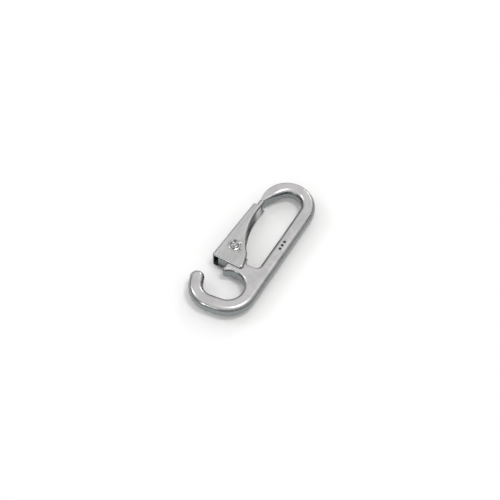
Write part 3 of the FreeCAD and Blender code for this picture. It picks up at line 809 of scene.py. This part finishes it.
@dataclass
class TorsionSpring:
    """One wire: a leg on the gate's web, a coil about the rivet and a leg hooked in the hook."""

    pivot: Point = (-6.8994 * MM, 17.15 * MM, 0.0)
    wire_radius: float = 0.35 * MM
    coil_radius: float = 2.15 * MM
    coil_rise: float = 1.75 * MM
    coil_start: float = 188.0
    coil_end: float = 275.0
    whole_turns: int = 2
    steps_per_turn: int = 40
    leg_length: float = 9.5 * MM
    anchor_x: float = 0.2006 * MM
    anchor_foot: float = 10.55 * MM
    anchor_bend: float = 0.8 * MM
    bend_steps: int = 10
    wire_sides: int = 16
    sharp_angle: float = 50.0
    blend_near: float = 0.4 * MM
    blend_far: float = 2.4 * MM
    finish: SteelFinish = SteelFinish(
        name="drawn_spring_wire",
        face_tone=(0.62, 0.62, 0.62),
        # Painted shade: slightly darker roundings and walls.
        painted_rounding_shade=(0.50, 0.51, 0.51),
        painted_wall_shade=(0.50, 0.51, 0.51),
        worn_tone=(0.70, 0.70, 0.70),
        direction=GrainDirection.TUMBLED,
        fine_scale=5200.0,
        patch_scale=900.0,
        scratch_scale=2400.0,
        roughness=0.24,
        roughness_spread=0.05,
        patch_shade=0.10,
        scratch_shade=0.06,
        bump_height=0.0008 * MM,
    )

    def build(self, kit: ShaderKit) -> bpy.types.Object:
        """Wind the coil, draw out its two legs and hook the anchored one.

        Args:
            kit: The shared shader groups.

        Returns:
            The finished piece.
        """
        shape = bmesh.new()
        centre = Vector(self.pivot)
        turn = math.radians(self.coil_end - self.coil_start) + math.tau * self.whole_turns
        steps = round(self.steps_per_turn * turn / math.tau)
        outward = self._heading(self.coil_start)
        root = centre + outward * self.coil_radius - Vector((0.0, 0.0, self.coil_rise / 2))
        upward = Vector((0.0, 0.0, 1.0))
        stand = Matrix((outward, upward, -outward.cross(upward))).transposed()
        ring = bmesh.ops.create_circle(
            shape, cap_ends=False, segments=self.wire_sides, radius=self.wire_radius,
            matrix=Matrix.Translation(root) @ stand.to_4x4(),
        )["verts"]
        first = list({e for v in ring for e in v.link_edges})
        wound = bmesh.ops.spin(
            shape, geom=ring + first, cent=centre, axis=(0.0, 0.0, 1.0), angle=turn, steps=steps,
            dvec=Vector((0.0, 0.0, self.coil_rise / steps)), use_merge=False,
        )
        last = [e for e in wound["geom_last"] if isinstance(e, bmesh.types.BMEdge)]
        tip = self._draw(shape, first, self._heading(self.coil_start - 90) * self.leg_length)
        self._cap(shape, tip)
        ahead = self._heading(self.coil_end + 90)
        end_root = centre + self._heading(self.coil_end) * self.coil_radius
        reach = self.anchor_x - self.anchor_bend - end_root.x
        last = self._draw(shape, last, ahead * (reach / ahead.x))
        knee = end_root + ahead * (reach / ahead.x)
        last = self._hook_down(shape, last, knee, ahead)
        drop = min(v.co.y for e in last for v in e.verts) - self.anchor_foot
        last = self._draw(shape, last, Vector((0.0, -drop, 0.0)))
        self._cap(shape, last)
        bmesh.ops.recalc_face_normals(shape, faces=shape.faces)
        mark_faces(shape)
        piece = new_piece("spring_wire", shape)
        smooth(piece, sharp_angle=self.sharp_angle)
        piece.data.materials.append(self.finish.material(kit))
        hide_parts("torsion_spring")
        near = centre - Vector((self.blend_near, 0.0, 0.0))
        far = centre - Vector((self.blend_far, 0.0, 0.0))
        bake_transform(piece, Body.HOOK.value, Body.GATE.value, start=tuple(near), end=tuple(far))
        log.info("%s: %d faces, bends from hook to gate", piece.name, len(piece.data.polygons))
        return piece

    def _heading(self, degrees: float) -> Vector:
        """A unit vector in the hook's plane."""
        angle = math.radians(degrees)
        return Vector((math.cos(angle), math.sin(angle), 0.0))

    def _draw(
        self, shape: bmesh.types.BMesh, edges: list[bmesh.types.BMEdge], way: Vector
    ) -> list[bmesh.types.BMEdge]:
        """Draw a ring of the wire out along a straight way.

        Args:
            shape: The spring's mesh.
            edges: The ring's edges.
            way: The way, in metres.

        Returns:
            The edges of the new ring.
        """
        drawn = bmesh.ops.extrude_edge_only(shape, edges=edges)["geom"]
        bmesh.ops.translate(shape, vec=way, verts=[v for v in drawn if isinstance(v, bmesh.types.BMVert)])
        return [e for e in drawn if isinstance(e, bmesh.types.BMEdge)]

    def _hook_down(
        self, shape: bmesh.types.BMesh, edges: list[bmesh.types.BMEdge], knee: Vector, ahead: Vector
    ) -> list[bmesh.types.BMEdge]:
        """Bend the anchored leg down towards its hole.

        Args:
            shape: The spring's mesh.
            edges: The ring's edges at the knee.
            knee: The middle of that ring.
            ahead: The leg's direction before the bend.

        Returns:
            The edges of the last ring of the bend.
        """
        aside = Vector((ahead.y, -ahead.x, 0.0))
        corner = math.acos(max(-1.0, min(1.0, ahead.dot(Vector((0.0, -1.0, 0.0))))))
        verts = list({v for e in edges for v in e.verts})
        bent = bmesh.ops.spin(
            shape, geom=verts + edges, cent=knee + aside * self.anchor_bend, axis=(0.0, 0.0, -1.0),
            angle=corner, steps=self.bend_steps, use_merge=False,
        )
        return [e for e in bent["geom_last"] if isinstance(e, bmesh.types.BMEdge)]

    def _cap(self, shape: bmesh.types.BMesh, edges: list[bmesh.types.BMEdge]) -> None:
        """Close the wire's end."""
        bmesh.ops.contextual_create(shape, geom=edges)


# ---------------------------------------------------------------- the studio


@dataclass
class Studio:
    """A pale floor, soft lights and the camera."""

    aim: Point = (0.0, 22.0 * MM, 0.0)
    azimuth: float = 30.0
    elevation: float = 56.2
    roll: float = 0.4
    distance: float = 1.09
    view_width: float = 205.4 * MM
    slide_right: float = -2.02 * MM
    slide_up: float = -0.44 * MM
    sensor: float = 36.0
    floor_size: float = 6.0
    floor_roughness: float = 0.9
    floor_gloss: float = 0.1
    floor_cloud_scale: float = 3.0
    floor_cloud_shade: float = 0.99
    floor_tone: Colour = (0.975, 0.975, 0.97)
    sky_tone: Colour = (0.88, 0.88, 0.885)
    horizon_tone: Colour = (0.05, 0.065, 0.065)
    backdrop_tone: Colour = (0.82, 0.82, 0.82)
    sky_rise: tuple[float, float] = (0.08, 0.7)

    def build(self) -> None:
        """Set the floor, the sky, the lights and the camera."""
        self._floor()
        self._sky()
        self._lights()
        self._camera()

    def _floor(self) -> None:
        """Lay the floor under the lowest point of the hook."""
        low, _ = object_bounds()
        shape = bmesh.new()
        bmesh.ops.create_grid(
            shape, x_segments=2, y_segments=2, size=self.floor_size / 2,
            matrix=Matrix.Translation((0.0, 0.0, low[2])),
        )
        floor = new_piece("floor", shape)
        made = bpy.data.materials.new("pale_floor")
        made.use_nodes = True
        paint = made.node_tree.nodes["Principled BSDF"]
        paint.inputs["Roughness"].default_value = self.floor_roughness
        paint.inputs["Specular IOR Level"].default_value = self.floor_gloss
        place = add_node(made.node_tree, "ShaderNodeTexCoord")
        cloud = add_node(made.node_tree, "ShaderNodeTexNoise")
        cloud.inputs["Scale"].default_value = self.floor_cloud_scale
        tone = add_node(made.node_tree, "ShaderNodeMix", data_type="RGBA", blend_type="MIX")
        first, second = [s for s in tone.inputs if s.type == "RGBA"]
        first.default_value = (*self.floor_tone, 1.0)
        second.default_value = (*(c * self.floor_cloud_shade for c in self.floor_tone), 1.0)
        links = made.node_tree.links
        links.new(place.outputs["Object"], cloud.inputs["Vector"])
        links.new(cloud.outputs["Fac"], tone.inputs["Factor"])
        links.new(next(s for s in tone.outputs if s.type == "RGBA"), paint.inputs["Base Color"])
        floor.data.materials.append(made)
        floor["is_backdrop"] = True

    def _sky(self) -> None:
        """Light the scene with a sky that is pale above and dark at the horizon."""
        world = bpy.data.worlds.new("studio")
        bpy.context.scene.world = world
        world.use_nodes = True
        tree = world.node_tree
        light = tree.nodes["Background"]
        place = add_node(tree, "ShaderNodeTexCoord")
        parts = add_node(tree, "ShaderNodeSeparateXYZ")
        tree.links.new(place.outputs["Generated"], parts.inputs["Vector"])
        height = stretch_range(tree, parts.outputs["Z"], *self.sky_rise)
        sky = add_node(tree, "ShaderNodeMix", data_type="RGBA", blend_type="MIX")
        low, high = [s for s in sky.inputs if s.type == "RGBA"]
        low.default_value = (*self.horizon_tone, 1.0)
        high.default_value = (*self.sky_tone, 1.0)
        tree.links.new(height, sky.inputs["Factor"])
        seen = add_node(tree, "ShaderNodeLightPath")
        pick = add_node(tree, "ShaderNodeMix", data_type="RGBA", blend_type="MIX")
        shown, back = [s for s in pick.inputs if s.type == "RGBA"]
        tree.links.new(next(s for s in sky.outputs if s.type == "RGBA"), shown)
        back.default_value = (*self.backdrop_tone, 1.0)
        tree.links.new(seen.outputs["Is Camera Ray"], pick.inputs["Factor"])
        tree.links.new(next(s for s in pick.outputs if s.type == "RGBA"), light.inputs["Color"])
        light.inputs["Strength"].default_value = 1.0

    def _lights(self) -> None:
        """Hang the soft lights: one above, a low one in front and two weaker ones around."""
        self._panel("overhead", (0.35, 0.1, 1.3), 0.3, 4.2, (1.0, 0.99, 0.97))
        self._panel("front_strip", (-0.25, -1.1, 0.13), 0.22, 1.5, (1.0, 1.0, 1.0))
        self._panel("left_fill", (-1.0, -0.2, 1.0), 0.3, 1.6, (0.97, 0.98, 1.0))
        self._panel("back_fill", (-0.1, 1.3, 0.8), 0.3, 1.6, (1.0, 0.99, 0.98))

    def _panel(self, name: str, place: Point, size: float, power: float, tone: Colour) -> None:
        """Hang a square light that faces the hook.

        Args:
            name: The light's name.
            place: Where it hangs.
            size: Its side, in metres.
            power: Its power, in watts.
            tone: Its colour.
        """
        light = bpy.data.lights.new(name, "AREA")
        light.shape = "SQUARE"
        light.size = size
        light.energy = power
        light.color = tone
        lamp = bpy.data.objects.new(name, light)
        lamp.location = place
        lamp.rotation_euler = (Vector(self.aim) - Vector(place)).to_track_quat("-Z", "Y").to_euler()
        bpy.context.scene.collection.objects.link(lamp)

    def _camera(self) -> None:
        """Place the camera, and make it the scene's."""
        turn, tilt, roll = (math.radians(a) for a in (self.azimuth, self.elevation, self.roll))
        back = Vector((math.sin(turn) * math.cos(tilt), -math.cos(turn) * math.cos(tilt), math.sin(tilt)))
        right = Vector((math.cos(turn), math.sin(turn), 0.0))
        up = back.cross(right)
        right, up = (
            right * math.cos(roll) + up * math.sin(roll),
            up * math.cos(roll) - right * math.sin(roll),
        )
        data = bpy.data.cameras.new("camera")
        data.sensor_width = self.sensor
        data.lens = self.sensor * self.distance / self.view_width
        data.clip_start, data.clip_end = 0.01, 20.0
        camera = bpy.data.objects.new("camera", data)
        centre = Vector(self.aim) + right * self.slide_right + up * self.slide_up
        stand = Matrix((right, up, back)).transposed().to_4x4()
        camera.matrix_world = Matrix.Translation(centre + back * self.distance) @ stand
        bpy.context.scene.collection.objects.link(camera)
        bpy.context.scene.camera = camera
        bpy.context.scene.view_settings.view_transform = "Standard"


def main() -> None:
    """Build the hook's pieces in order, then the studio."""
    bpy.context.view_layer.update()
    kit = ShaderKit()
    for maker in (HookBar(), Gate(), PivotRivet(), TorsionSpring()):
        maker.build(kit)
    Studio().build()


if __name__ == "__main__":
    main()
